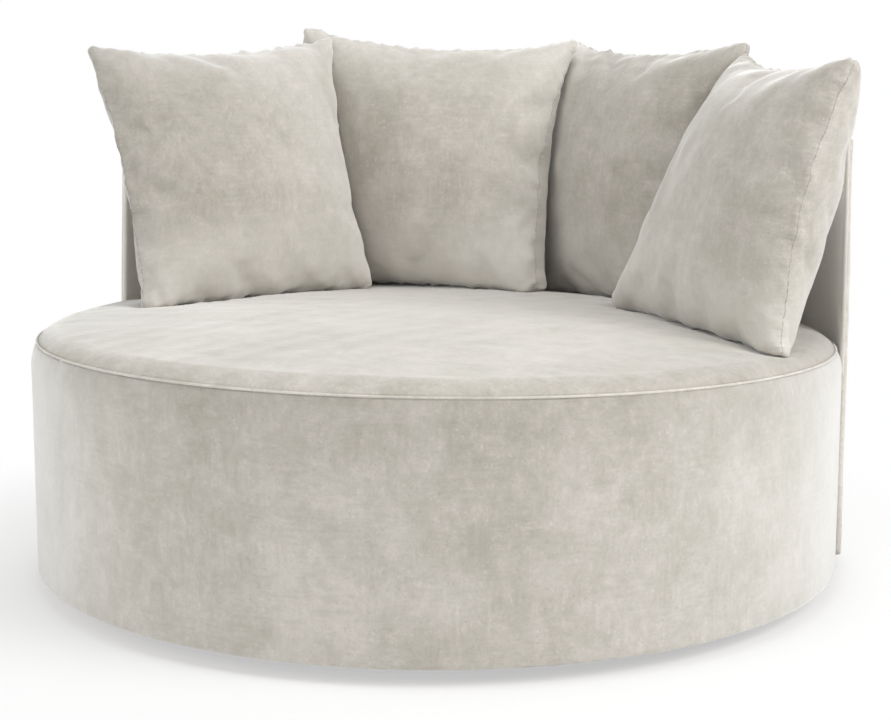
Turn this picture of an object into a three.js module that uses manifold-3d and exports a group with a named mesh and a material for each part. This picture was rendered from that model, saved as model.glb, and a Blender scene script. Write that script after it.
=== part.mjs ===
// Round cuddle chair: an upholstered drum seat that turns on a hidden ball-bearing base,
// a thin curved back outside the drum, and four loose cushions.
// Millimetres, +Z up, -Y is the open front. The origin is on the floor, on the drum's turning axis.

import * as THREE from "three";
import { mergeVertices } from "three/addons/utils/BufferGeometryUtils.js";
import Module from "manifold-3d";

const wasm = await Module();
wasm.setup();

// Drum and seat
const drumRadius = 700;
const seamHeight = 406; // floor to the seam, where it crosses the drum's middle
const rimRise = 24; // seam to the top of the rounded rim
const crownRise = 28; // rim to the middle of the seat
const shoulderRadius = 58; // rounding between the drum's side and the seat
const seatSlopeShare = 0.04; // fall of the seat towards the back, as a share of its depth
const weltRadius = 1.8; // cord in the seam round the rim

// Cloth, padding and the running gap between pieces
const clearance = 0.3;
const coverThickness = 1.2;
const waddingThickness = 8;
const weldDistance = 0.001; // vertices closer than this are one
const overrun = 5; // how far a cut runs past the face that it opens

// Swivel base
const glideCount = 6;
const glideRadius = 20;
const glideHeight = 4;
const glideBevel = 1;
const glideInset = 25; // edge of the plinth to the edge of a glide
const plinthRadius = 380;
const plinthThickness = 12;
const accessRadius = 60; // hole in the middle of the plinth and of the bottom board

// Ball bearing between the plinth and the drum
const bearingHeight = 10;
const bearingInner = 66;
const bearingOuter = 152;
const plateThickness = 1.5;
const raceRadius = 130;
const raceDepth = 0.5;
const raceWidth = 7;
const raceSide = 0.6; // width of the race's sloping side
const ballCount = 12;
const cageWidth = 9;
const cageThickness = 1;
const rimLip = 6; // how far the lower plate's rim is curled in
const rimGap = 3; // between the curled rim and the upper plate's wall
const lipGap = 0.7; // between the curled rim and the upper plate's foot

// Wood screws through the bearing plates
const screwCount = 4;
const screwCircle = 108;
const screwRadius = 2;
const screwHeadRadius = 4;
const screwHeadHeight = 2;
const screwLength = 9;

// Timber frame of the drum
const boardThickness = 18;
const ringThickness = 18;
const ringWidth = 60;
const frameTop = 300; // floor to the top of the upper ring
const wallThickness = 4; // bent plywood round the frame
const postCount = 8;
const postWidth = 60;
const postDepth = 38;
const postInset = 6; // frame's outer edge to the face of a post
const dustCoverThickness = 0.8;
const dustCoverHem = 12; // frame's outer edge to the edge of the dust cover
const dustCoverGap = 14; // bearing to the edge of the dust cover's hole

// Sinuous springs and the deck cloth
const springCount = 6;
const springMargin = 136; // ring's inner edge to the middle of the outermost spring
const wireRadius = 1.9;
const springWave = 26; // half the width of the zigzag
const springWaveLength = 128;
const springLead = 40; // straight end of a spring
const springBearing = 22; // length of a spring's end that lies on the ring
const springCrown = 15; // rise of the springs in the middle
const deckThickness = 1;
const deckSlack = 0.7; // between the springs and the cloth drawn over them
const deckBearing = 45; // width of the deck cloth that lies over the ring

// Curved back
const backHeight = 756;
const backHalfWrap = 76.7; // degrees to each side of the middle of the back
const backRake = 17; // how far the top of each end leans back
const backBoardThickness = 6;
const backWaddingThickness = 1.5;
const backEdgePadding = 4; // wadding beyond the edges of the board
const boltHeight = 170;
const boltRadius = 4;
const boltHeadRadius = 8;
const boltHeadHeight = 2.5;
const boltBite = 26; // length of a bolt inside its post

// Loose cushions
const cushionWidth = 524; // corner to corner
const cushionHeight = 485;
const cushionThickness = 200;
const drawnShare = 0.11; // how far the top and the sides are drawn in between their corners
const restShare = 0.02; // the same for the bottom, which the cushion's weight fills out
const cushionFullness = 0.5; // power of the crown: lower is fuller
const cushionSeam = 8; // width of the sewn edge round the pad
const cushionGap = 0.6; // between a cushion and what it leans on
const zipLengthShare = 0.6; // of the cushion's width
const zipGap = 0.8;

// Where each cushion stands, in the order they are laid: degrees round the seat from the middle of the
// back, its distance from the axis as a share of the drum's radius, degrees that it is turned away from
// the axis, its lean, its sideways tilt, and how far its top is twisted against its middle.
const cushionPlaces = [
  { name: "cushion_3", round: 24.5, outShare: 0.796, turn: -12.5, lean: 8.2, tilt: -2.2, twist: 2.5 },
  { name: "cushion_2", round: -18.8, outShare: 0.787, turn: -21.7, lean: 6.8, tilt: 0.8, twist: 12 },
  { name: "cushion_1", round: -64.7, outShare: 0.7425, turn: -9.3, lean: 17.6, tilt: -0.4, twist: -3.1 },
  { name: "cushion_4", round: 79.75, outShare: 0.7525, turn: 26, lean: 21.6, tilt: -1.2, twist: -6.5 },
];

// How finely round things are divided
const roundSegments = 40;
const bearingSegments = 24;
const smallSegments = 6;
const shoulderSteps = 2; // on each side of the seam
const crownSteps = 2;
const deckSteps = 3;
const edgeSteps = 2;
const ballRows = 4;
const weltSides = 5;
const wireSides = 4;
const stepsPerWave = 4;
const cushionCells = 10;
const pushSteps = 14;

// Levels and radii that follow from the sizes above
const plinthBottom = glideHeight + clearance;
const plinthTop = plinthBottom + plinthThickness;
const bearingBottom = plinthTop + clearance;
const bearingTop = bearingBottom + bearingHeight;
const drumBottom = bearingTop + clearance;
const boardTop = drumBottom + boardThickness;
const ringBottom = frameTop - ringThickness;
const waddingInset = coverThickness + clearance;
const foamInset = waddingInset + waddingThickness + clearance;
const wallOuter = drumRadius - foamInset;
const wallInner = wallOuter - wallThickness;
const frameRadius = wallInner - clearance;
const ringInner = frameRadius - ringWidth;
const springPitch = ((ringInner - springMargin) * 2) / (springCount - 1);
const springLevel = frameTop + clearance + wireRadius;
const deckFloor = springLevel + wireRadius + deckSlack;
const foamFloor = deckFloor + deckThickness + clearance;
const slopeStart = foamFloor + springCrown;
const rimHeight = seamHeight + rimRise;
const shoulderCentre = drumRadius - shoulderRadius;
const seamAngle = Math.asin(1 - rimRise / shoulderRadius);
const backLayer = coverThickness + clearance + backWaddingThickness + clearance;
const backThickness = backBoardThickness + backLayer + backLayer;
const backInner = drumRadius + clearance;
const backOuter = backInner + backThickness;
const backMiddle = (backInner + backOuter) / 2;
const facetShare = Math.cos(Math.PI / roundSegments); // how far out the middle of a facet lies
const ballRadius = (bearingHeight - plateThickness * 2) / 2 + raceDepth - clearance;

const finishes = {
  velvet: { color: 0xcbc6bd, roughness: 0.95, metalness: 0 },
  wadding: { color: 0xf1f0ec, roughness: 1, metalness: 0 },
  foam: { color: 0xe9ddb6, roughness: 1, metalness: 0 },
  plywood: { color: 0xc9a673, roughness: 0.7, metalness: 0 },
  timber: { color: 0xd3b483, roughness: 0.75, metalness: 0 },
  steel: { color: 0x9a9da0, roughness: 0.4, metalness: 1 },
  blackCloth: { color: 0x1d1d1e, roughness: 0.95, metalness: 0 },
  nylon: { color: 0x2a2a2b, roughness: 0.6, metalness: 0 },
};

function degrees(angle) {
  return THREE.MathUtils.degToRad(angle);
}

function piece(name, geometry, finish) {
  const mesh = new THREE.Mesh(geometry, new THREE.MeshStandardMaterial(finishes[finish]));
  mesh.name = name;
  return mesh;
}

function group(...children) {
  const made = new THREE.Group();
  made.add(...children);
  return made;
}

// Six times the volume inside a closed surface, negative when its faces point in.
function signedVolume(geometry) {
  const position = geometry.attributes.position;
  const corners = [new THREE.Vector3(), new THREE.Vector3(), new THREE.Vector3()];
  let sum = 0;
  for (let i = 0; i < geometry.index.count; i += 3) {
    corners.forEach((corner, k) => corner.fromBufferAttribute(position, geometry.index.getX(i + k)));
    sum += corners[0].dot(corners[1].clone().cross(corners[2]));
  }
  return sum;
}

// The surface with its faces pointing out and only its positions kept, shared between faces.
function closed(geometry) {
  const bare = new THREE.BufferGeometry();
  bare.setAttribute("position", geometry.attributes.position);
  bare.setIndex(geometry.index);
  const merged = mergeVertices(bare, weldDistance);
  if (signedVolume(merged) < 0) {
    const index = merged.index;
    for (let i = 0; i < index.count; i += 3) {
      const first = index.getX(i);
      index.setX(i, index.getX(i + 1));
      index.setX(i + 1, first);
    }
  }
  return merged;
}

function solid(geometry) {
  const surface = closed(geometry);
  const vertProperties = surface.attributes.position.array;
  const triVerts = new Uint32Array(surface.index.array);
  return new wasm.Manifold(new wasm.Mesh({ numProp: 3, vertProperties, triVerts }));
}

function surfaceOf(made) {
  const mesh = made.getMesh();
  const geometry = new THREE.BufferGeometry();
  geometry.setAttribute("position", new THREE.BufferAttribute(mesh.vertProperties, 3));
  geometry.setIndex(new THREE.BufferAttribute(mesh.triVerts, 1));
  return geometry;
}

function cut(geometry, tools) {
  const made = tools.reduce((rest, tool) => rest.subtract(solid(tool)), solid(geometry));
  return surfaceOf(made);
}

// A closed outline of [radius, height] points turned round the vertical axis.
function revolve(outline, segments) {
  const ends = [outline[0], outline[outline.length - 1]];
  const onAxis = ends.every(([radius]) => radius === 0);
  const loop = onAxis ? outline : [...outline, outline[0]];
  const points = loop.map(([radius, height]) => new THREE.Vector2(radius, height));
  return closed(new THREE.LatheGeometry(points, segments).rotateX(Math.PI / 2));
}

function ring(inner, outer, bottom, top, segments) {
  const outline = [
    [inner, bottom],
    [outer, bottom],
    [outer, top],
    [inner, top],
  ];
  return revolve(outline, segments);
}

function rod(radius, from, to, segments) {
  const geometry = new THREE.CylinderGeometry(radius, radius, to - from, segments);
  return geometry.rotateX(Math.PI / 2).translate(0, 0, (from + to) / 2);
}

// Places count copies evenly on a circle, the first one at the angle start.
function onCircle(count, radius, start, make) {
  return Array.from({ length: count }, (_, i) => {
    const angle = start + (i * 2 * Math.PI) / count;
    const made = make(i, angle);
    made.position.x = radius * Math.cos(angle);
    made.position.y = radius * Math.sin(angle);
    return made;
  });
}

// A mesh's surface where its place and turn put it.
function placed(geometry, object) {
  object.updateMatrix();
  return geometry.clone().applyMatrix4(object.matrix);
}

// Seat outline

// The seat falls towards the back: points above the deck move down with their distance behind the axis.
function slopeSeat(geometry) {
  const position = geometry.attributes.position;
  for (let i = 0; i < position.count; i += 1) {
    const share = (position.getZ(i) - slopeStart) / (seamHeight - slopeStart);
    const drop = seatSlopeShare * position.getY(i) * THREE.MathUtils.clamp(share, 0, 1);
    position.setZ(i, position.getZ(i) - drop);
  }
  return geometry;
}

// Half the angle that the welt and its clearance take out of the shoulder.
const weltHalfAngle = (weltRadius + clearance) / shoulderRadius;

// Angles between two ends, both included.
function spread(from, to, steps) {
  return Array.from({ length: steps + 1 }, (_, i) => from + ((to - from) * i) / steps);
}

// Every layer has its corners at the same angles of the shoulder, so that the layers stay nested.
const sideAngles = spread(0, seamAngle - weltHalfAngle, shoulderSteps);
const topAngles = spread(seamAngle + weltHalfAngle, Math.PI / 2, shoulderSteps);

// Points on the shoulder at an inset from the outside of the cloth.
function shoulderPoints(inset, angles) {
  const reach = shoulderRadius - inset;
  const level = rimHeight - shoulderRadius;
  return angles.map((angle) => [shoulderCentre + reach * Math.cos(angle), level + reach * Math.sin(angle)]);
}

// Points on the crown, from the shoulder to the axis.
function crownPoints(inset) {
  return Array.from({ length: crownSteps }, (_, i) => {
    const share = 1 - (i + 1) / crownSteps;
    return [shoulderCentre * share, rimHeight - inset + crownRise * (1 - share * share)];
  });
}

// Side, shoulder and crown of the drum at an inset, from the bottom edge to the axis.
function drumOutline(inset, bottom) {
  const shoulder = shoulderPoints(inset, [...sideAngles, ...topAngles]);
  return [[drumRadius - inset, bottom], ...shoulder, ...crownPoints(inset)];
}

// Height of the seat's cloth above the floor at a point of the plan.
function seatSurface(x, y) {
  const radius = Math.hypot(x, y);
  const over = Math.min(Math.max(radius - shoulderCentre, 0), shoulderRadius);
  const share = Math.min(radius / shoulderCentre, 1);
  const shoulder = Math.sqrt(shoulderRadius * shoulderRadius - over * over) - shoulderRadius;
  return rimHeight + crownRise * (1 - share * share) + shoulder - seatSlopeShare * y;
}

// Rise of the springs and of the deck over them.
function springRise(radius) {
  const share = Math.min(radius / ringInner, 1);
  return springCrown * (1 - share * share);
}

function deckOutline(floor, outer) {
  const rise = Array.from({ length: deckSteps + 1 }, (_, i) => {
    const radius = (ringInner * i) / deckSteps;
    return [radius, floor + springRise(radius)];
  });
  return [...rise, [outer, floor]];
}

// Swivel base

function glides() {
  const outline = [
    [0, 0],
    [glideRadius - glideBevel, 0],
    [glideRadius, glideBevel],
    [glideRadius, glideHeight],
    [0, glideHeight],
  ];
  const circle = plinthRadius - glideInset - glideRadius;
  const make = (i) => piece(`glide_${i + 1}`, revolve(outline, smallSegments * 2), "nylon");
  return onCircle(glideCount, circle, Math.PI / glideCount, make);
}

// A screw that stands on its head's underside, its point down.
function screwForm() {
  const outline = [
    [0, -screwLength],
    [screwRadius, -screwLength + screwRadius * 2],
    [screwRadius, 0],
    [screwHeadRadius, 0],
    [screwHeadRadius, screwHeadHeight / 2],
    [screwHeadRadius / 2, screwHeadHeight],
    [0, screwHeadHeight],
  ];
  return revolve(outline, smallSegments);
}

const screwStart = { lower: 0, upper: Math.PI / screwCount };

function screwHoles(which, from, to) {
  const radius = screwRadius + clearance;
  const holes = onCircle(screwCount, screwCircle, screwStart[which], () => new THREE.Object3D());
  return holes.map((hole) => placed(rod(radius, from, to, smallSegments), hole));
}

function lowerScrews() {
  const level = bearingBottom + plateThickness + clearance;
  return onCircle(screwCount, screwCircle, screwStart.lower, (i) => {
    const screw = piece(`plinth_screw_${i + 1}`, screwForm(), "steel");
    screw.position.z = level;
    return screw;
  });
}

function upperScrews() {
  const level = bearingTop - plateThickness - clearance;
  return onCircle(screwCount, screwCircle, screwStart.upper, (i) => {
    const screw = piece(`seat_screw_${i + 1}`, screwForm(), "steel");
    screw.position.z = level;
    screw.rotation.x = Math.PI;
    return screw;
  });
}

function plinthBoard() {
  const board = ring(accessRadius, plinthRadius, plinthBottom, plinthTop, roundSegments);
  const holeFloor = bearingBottom + plateThickness + clearance - screwLength - clearance;
  const holes = screwHoles("lower", holeFloor, plinthTop + overrun);
  return piece("plinth_board", cut(board, holes), "plywood");
}

// Points of the shallow race that the balls run in, from its outer edge to its inner edge.
// up is 1 for the lower plate, whose race opens upwards, and -1 for the upper one.
function racePoints(face, up) {
  const half = raceWidth / 2;
  const floor = face - up * raceDepth;
  return [
    [raceRadius + half + raceSide, face],
    [raceRadius + half, floor],
    [raceRadius - half, floor],
    [raceRadius - half - raceSide, face],
  ];
}

// The lower plate's rim is curled in over the upper plate's foot, so the bearing can't lift apart.
const lowerFloor = bearingBottom + plateThickness;
const upperFloor = bearingTop - plateThickness;
const lipTop = upperFloor - plateThickness / 2;
const lipBottom = lipTop - plateThickness;
const lipInner = bearingOuter - rimLip;
const upperWall = lipInner - rimGap;

function lowerPlate() {
  const wall = bearingOuter - plateThickness;
  const outline = [
    [bearingInner, bearingBottom],
    [bearingOuter, bearingBottom],
    [bearingOuter, lipTop],
    [lipInner, lipTop],
    [lipInner, lipBottom],
    [wall, lipBottom],
    [wall, lowerFloor],
    ...racePoints(lowerFloor, 1),
    [bearingInner, lowerFloor],
  ];
  const holes = screwHoles("lower", bearingBottom - overrun, lowerFloor + overrun);
  return piece("bearing_lower_plate", cut(revolve(outline, bearingSegments), holes), "steel");
}

function upperPlate() {
  const footTop = lipBottom - lipGap;
  const footOuter = bearingOuter - plateThickness * 2;
  const outline = [
    [bearingInner, bearingTop],
    [upperWall, bearingTop],
    [upperWall, footTop],
    [footOuter, footTop],
    [footOuter, footTop - plateThickness],
    [upperWall - plateThickness, footTop - plateThickness],
    [upperWall - plateThickness, upperFloor],
    ...racePoints(upperFloor, -1),
    [bearingInner, upperFloor],
  ];
  const holes = screwHoles("upper", upperFloor - overrun, bearingTop + overrun);
  return piece("bearing_upper_plate", cut(revolve(outline, bearingSegments), holes), "steel");
}

// The balls sit in a flat cage that carries them round at half the drum's speed.
function ballCage() {
  const middle = (bearingBottom + bearingTop) / 2;
  const inner = raceRadius - cageWidth / 2;
  const cage = ring(inner, inner + cageWidth, -cageThickness / 2, cageThickness / 2, bearingSegments);
  const spots = onCircle(ballCount, raceRadius, 0, () => new THREE.Object3D());
  const ball = new THREE.SphereGeometry(ballRadius, smallSegments, ballRows).rotateX(Math.PI / 2);
  const joined = spots.reduce((made, spot) => made.add(solid(placed(ball, spot))), solid(cage));
  const mesh = piece("bearing_balls", surfaceOf(joined), "steel");
  mesh.position.z = middle;
  return mesh;
}

// Drum frame

// The posts that stand behind the curved back take a bolt each.
const postAngles = Array.from({ length: postCount }, (_, i) => ((i + 1 / 2) * 360) / postCount);

// Direction of an angle in degrees from the middle of the back, towards +X.
function direction(round) {
  return new THREE.Vector2(Math.sin(degrees(round)), Math.cos(degrees(round)));
}

function roundOf(angle) {
  return angle > 180 ? angle - 360 : angle;
}

const boltAngles = postAngles.map(roundOf).filter((angle) => Math.abs(angle) < backHalfWrap);

// A rod that lies level and points away from the axis, between two distances from it.
function levelRod(round, radius, from, to) {
  const turned = rod(radius, from, to, smallSegments).rotateX(-Math.PI / 2);
  return turned.rotateZ(-degrees(round)).translate(0, 0, boltHeight);
}

function boltHoles(from, to, radius = boltRadius + clearance) {
  return boltAngles.map((round) => levelRod(round, radius, from, to));
}

function bottomBoard() {
  const board = ring(accessRadius, frameRadius, drumBottom, boardTop, roundSegments);
  const depth = bearingTop - plateThickness - clearance + screwLength + clearance;
  const holes = screwHoles("upper", drumBottom - overrun, depth);
  return piece("bottom_board", cut(board, holes), "plywood");
}

function topRing() {
  return piece("top_ring", ring(ringInner, frameRadius, ringBottom, frameTop, roundSegments), "plywood");
}

function posts() {
  const bottom = boardTop + clearance;
  const height = ringBottom - clearance - bottom;
  const middle = frameRadius - postInset - postDepth / 2;
  const box = new THREE.BoxGeometry(postWidth, postDepth, height);
  return postAngles.map((angle, i) => {
    const round = roundOf(angle);
    const bolted = boltAngles.includes(round);
    const hole = levelRod(0, boltRadius + clearance, -boltBite - clearance, overrun);
    const level = bottom + height / 2;
    const tool = hole.translate(0, postDepth / 2, -level);
    const post = piece(`post_${i + 1}`, bolted ? cut(box, [tool]) : closed(box), "timber");
    const along = direction(round).multiplyScalar(middle);
    post.position.set(along.x, along.y, level);
    post.rotation.z = -degrees(round);
    return post;
  });
}

function drumWall() {
  const wall = ring(wallInner, wallOuter, drumBottom, frameTop, roundSegments);
  return piece("drum_wall", cut(wall, boltHoles(wallInner - overrun, wallOuter + overrun)), "plywood");
}

// One zigzag spring from the front of the ring to the back, at the distance across from the axis.
class SpringPath extends THREE.Curve {
  constructor(across) {
    super();
    this.across = across;
    this.half = Math.sqrt(ringInner * ringInner - across * across) + springBearing;
    this.waves = Math.round(((this.half - springLead) * 2) / springWaveLength);
  }

  getPoint(t, target = new THREE.Vector3()) {
    const along = this.half * (2 * t - 1);
    const run = this.half - springLead;
    const inside = Math.abs(along) < run;
    const wave = inside ? springWave * Math.sin((Math.PI * this.waves * (along + run)) / run) : 0;
    const x = this.across + wave;
    return target.set(x, along, springLevel + springRise(Math.hypot(x, along)));
  }
}

function springs() {
  const section = new THREE.Shape(
    Array.from({ length: wireSides }, (_, i) => {
      const angle = (2 * Math.PI * i) / wireSides;
      return new THREE.Vector2(wireRadius * Math.cos(angle), wireRadius * Math.sin(angle));
    }),
  );
  return Array.from({ length: springCount }, (_, i) => {
    const path = new SpringPath((i - (springCount - 1) / 2) * springPitch);
    const steps = path.waves * stepsPerWave + stepsPerWave;
    const options = { steps, extrudePath: path, bevelEnabled: false };
    return piece(`seat_spring_${i + 1}`, closed(new THREE.ExtrudeGeometry(section, options)), "steel");
  });
}

function deckCloth() {
  const outer = ringInner + deckBearing;
  const top = deckOutline(deckFloor + deckThickness, outer);
  const outline = [...deckOutline(deckFloor, outer), ...top.reverse()];
  return piece("deck_cloth", revolve(outline, roundSegments), "blackCloth");
}

function dustCover() {
  const top = drumBottom - clearance;
  const inner = bearingOuter + dustCoverGap;
  const cover = ring(inner, frameRadius - dustCoverHem, top - dustCoverThickness, top, roundSegments);
  return piece("dust_cover", cover, "blackCloth");
}

// Drum upholstery

function seatFoam() {
  const floor = deckOutline(foamFloor, drumRadius - foamInset);
  const top = drumOutline(foamInset, foamFloor).slice(1);
  return piece("seat_foam", slopeSeat(revolve([...floor, ...top], roundSegments)), "foam");
}

// One sheet of wadding from the hem, up the side and over the foam.
function drumWadding() {
  const outer = drumOutline(waddingInset, drumBottom);
  const inner = drumOutline(foamInset - clearance, drumBottom);
  const sheet = slopeSeat(revolve([...outer, ...inner.reverse()], roundSegments));
  const holes = boltHoles(wallOuter - overrun, drumRadius + overrun);
  return piece("drum_wadding", cut(sheet, holes), "wadding");
}

function drumCover() {
  const outer = [[drumRadius, drumBottom], ...shoulderPoints(0, sideAngles)];
  const inner = [[drumRadius - coverThickness, drumBottom], ...shoulderPoints(coverThickness, sideAngles)];
  const band = slopeSeat(revolve([...outer, ...inner.reverse()], roundSegments));
  const holes = boltHoles(wallOuter - overrun, drumRadius + overrun);
  return piece("drum_cover", cut(band, holes), "velvet");
}

function seatCover() {
  const side = (inset) => [...shoulderPoints(inset, topAngles), ...crownPoints(inset)];
  const panel = revolve([...side(0), ...side(coverThickness).reverse()], roundSegments);
  return piece("seat_cover", slopeSeat(panel), "velvet");
}

// The welt stands proud of the cloth and touches nothing under it.
function seatWelt() {
  const [[radius, height]] = shoulderPoints(coverThickness - weltRadius, [seamAngle]);
  const outline = Array.from({ length: weltSides }, (_, i) => {
    const angle = seamAngle + (2 * Math.PI * i) / weltSides;
    return [radius + weltRadius * Math.cos(angle), height + weltRadius * Math.sin(angle)];
  });
  return piece("seat_welt", slopeSeat(revolve(outline, roundSegments)), "velvet");
}

// Curved back

// Stations of a rounded edge, from its blunt tip to its full thickness.
function roundedEdge(half, steps) {
  const tip = Math.PI / 6;
  if (steps === 0) return [{ inset: 0, half }];
  return Array.from({ length: steps + 1 }, (_, i) => {
    const angle = tip + ((Math.PI / 2 - tip) * i) / steps;
    return { inset: half * (Math.cos(tip) - Math.cos(angle)), half: half * Math.sin(angle) };
  });
}

// Outline of the back's thickness at one place, as [distance from the axis, height].
function backSection(half, bottom, top, steps) {
  const edge = roundedEdge(half, steps).reverse();
  const side = (sign) => [
    [backMiddle + sign * half, bottom],
    [backMiddle + sign * half, seamHeight],
    ...edge.map((station) => [backMiddle + sign * station.half, top - station.inset]),
  ];
  return [...side(1), ...side(-1).reverse()];
}

// The curved back at an inset from the outside of its cloth: rounded with steps, square without.
function backForm(inset, edgeInset, bottom, steps) {
  const half = backThickness / 2 - inset;
  const wrap = degrees(backHalfWrap) - edgeInset / backMiddle;
  const step = (2 * Math.PI) / roundSegments;
  const ends = roundedEdge(half, steps).map((station) => ({
    angle: wrap - station.inset / backMiddle,
    half: station.half,
  }));
  const last = ends[ends.length - 1].angle;
  const inner = [];
  for (let k = Math.ceil(-last / step); k * step < last; k += 1) {
    if (k * step > -last) inner.push({ angle: k * step, half });
  }
  const far = ends.map(({ angle, half: thin }) => ({ angle: -angle, half: thin }));
  const stations = [...far, ...inner, ...ends.slice().reverse()];
  const sections = stations.map((s) => backSection(s.half, bottom, backHeight - edgeInset, steps));
  return closed(loft(sections, stations.map((s) => s.angle)));
}

// How far round a point of the back lies, with the lean of its ends above the seat.
function raked(angle, height) {
  const share = THREE.MathUtils.clamp((height - seamHeight) / (backHeight - seamHeight), 0, 1);
  return angle * (1 - (share * backRake) / (degrees(backHalfWrap) * backMiddle));
}

// A closed surface through sections that stand on end at the given angles.
function loft(sections, angles) {
  const count = sections[0].length;
  const positions = sections.flatMap((section, i) =>
    section.flatMap(([radius, height]) => {
      const angle = raked(angles[i], height);
      return [radius * Math.sin(angle), radius * Math.cos(angle), height];
    }),
  );
  const index = [];
  for (let i = 0; i + 1 < sections.length; i += 1) {
    for (let j = 0; j < count; j += 1) {
      const next = (j + 1) % count;
      const [a, b, c, d] = [i * count + j, i * count + next, (i + 1) * count + j, (i + 1) * count + next];
      index.push(a, b, c, b, d, c);
    }
  }
  // Each end is closed row by row, between the points that stand at one height.
  const start = (sections.length - 1) * count;
  for (let j = 0; j < count / 2 - 1; j += 1) {
    const [a, b, c, d] = [j, j + 1, count - 2 - j, count - 1 - j];
    index.push(a, c, b, a, d, c);
    index.push(start + a, start + b, start + c, start + a, start + c, start + d);
  }
  const geometry = new THREE.BufferGeometry();
  geometry.setAttribute("position", new THREE.Float32BufferAttribute(positions, 3));
  geometry.setIndex(index);
  return geometry;
}

const backBoardEdge = backLayer + backEdgePadding;
const backBoardFace = (backOuter - backLayer) * facetShare;
const boltSink = boltHeadHeight + clearance;

function backBoard() {
  const board = backForm(backLayer, backBoardEdge, drumBottom, 0);
  const shanks = boltHoles(backInner - overrun, backOuter + overrun);
  const sinks = boltHoles(backBoardFace - boltSink, backOuter + overrun, boltHeadRadius + clearance);
  return piece("back_board", cut(board, [...shanks, ...sinks]), "plywood");
}

function backWadding() {
  const outer = backForm(waddingInset, waddingInset, drumBottom, edgeSteps);
  const hollow = backForm(backLayer - clearance, backBoardEdge - clearance, drumBottom - overrun, 0);
  const holes = boltHoles(backInner - overrun, backMiddle);
  return piece("back_wadding", cut(outer, [hollow, ...holes]), "wadding");
}

function backCover() {
  const outer = backForm(0, 0, drumBottom, edgeSteps);
  const hollow = backForm(coverThickness, coverThickness, drumBottom - overrun, edgeSteps);
  const holes = boltHoles(backInner - overrun, backMiddle);
  return piece("back_cover", cut(outer, [hollow, ...holes]), "velvet");
}

// Each bolt's head lies sunk in the back board and its shank ends inside a post of the frame.
function backBolts() {
  const head = backBoardFace - clearance;
  const tip = frameRadius - postInset - boltBite;
  const outline = [
    [0, tip],
    [boltRadius, tip],
    [boltRadius, head - boltHeadHeight],
    [boltHeadRadius, head - boltHeadHeight],
    [boltHeadRadius, head],
    [0, head],
  ];
  return boltAngles.map((round, i) => {
    const form = revolve(outline, smallSegments).rotateX(-Math.PI / 2);
    const bolt = piece(`back_bolt_${i + 1}`, form, "steel");
    bolt.rotation.z = -degrees(round);
    bolt.position.z = boltHeight;
    return bolt;
  });
}

// Cushions

// A knife-edge cushion, upright on its X-Z plane: crowned faces, drawn-in sides, pointed corners. It is
// twisted about its height by an angle in degrees at its top.
function cushionForm(inset, thickness, twist) {
  const [halfWidth, halfHeight] = [cushionWidth / 2 - inset, cushionHeight / 2 - inset];
  const spot = (i) => Math.sin((i / cushionCells - 1 / 2) * Math.PI);
  const point = (i, j, face) => {
    const [u, v] = [spot(i), spot(j)];
    const rise = Math.pow(Math.max((1 - u * u) * (1 - v * v), 0), cushionFullness);
    const x = halfWidth * u * (1 - drawnShare * (1 - v * v));
    const y = (face * thickness * rise) / 2;
    const z = halfHeight * v * (1 - (v > 0 ? drawnShare : restShare) * (1 - u * u));
    const turned = (degrees(twist) * z * 2) / cushionHeight;
    return [x * Math.cos(turned) - y * Math.sin(turned), x * Math.sin(turned) + y * Math.cos(turned), z];
  };
  const positions = [];
  for (const face of [1, -1]) {
    for (let i = 0; i < cushionCells; i += 1) {
      for (let j = 0; j < cushionCells; j += 1) {
        const [left, right] = [i, i + 1].map((k) => [point(k, j, face), point(k, j + 1, face)]);
        const corners = [left[0], right[0], right[1], left[1]];
        const towardsCorner = i < cushionCells / 2 === j < cushionCells / 2;
        const [a, b, c, d] = towardsCorner ? corners : [...corners.slice(1), corners[0]];
        const faces = face > 0 ? [a, c, b, a, d, c] : [a, b, c, a, c, d];
        positions.push(...faces.flat());
      }
    }
  }
  const geometry = new THREE.BufferGeometry();
  geometry.setAttribute("position", new THREE.Float32BufferAttribute(positions, 3));
  return closed(mergeVertices(geometry, weldDistance));
}

// The sewn cover, hollow for its pad, with the zip's opening along the bottom edge.
function cushionCover(twist) {
  const hollow = cushionForm(cushionSeam, cushionThickness - coverThickness * 2, twist);
  const reach = cushionSeam * 2 + overrun;
  const zip = new THREE.BoxGeometry(cushionWidth * zipLengthShare, zipGap, reach);
  zip.translate(0, 0, (reach - cushionHeight) / 2);
  return cut(cushionForm(0, cushionThickness, twist), [hollow, zip.rotateZ(-degrees(twist))]);
}

function cushionPad(twist) {
  const thickness = cushionThickness - (coverThickness + clearance) * 2;
  return cushionForm(cushionSeam + clearance, thickness, twist);
}

// Stands a cushion at a distance from the axis, lowered until it rests on the seat.
function stand(holder, place, distance, form) {
  const along = direction(place.round).multiplyScalar(distance);
  const turned = degrees(place.turn - place.round);
  holder.rotation.set(-degrees(place.lean), degrees(place.tilt), turned, "ZXY");
  holder.position.set(along.x, along.y, 0);
  const position = placed(form, holder).attributes.position;
  let lowest = Infinity;
  for (let i = 0; i < position.count; i += 1) {
    const above = position.getZ(i) - seatSurface(position.getX(i), position.getY(i));
    lowest = Math.min(lowest, above);
  }
  holder.position.z = clearance - lowest;
}

// The furthest move, up to a limit, at which nothing is hit.
function furthestClear(limit, gap, hits) {
  if (!hits(limit)) return limit;
  let [near, far] = [0, limit];
  for (let i = 0; i < pushSteps; i += 1) {
    const middle = (near + far) / 2;
    if (hits(middle)) far = middle;
    else near = middle;
  }
  return near - gap;
}

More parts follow.
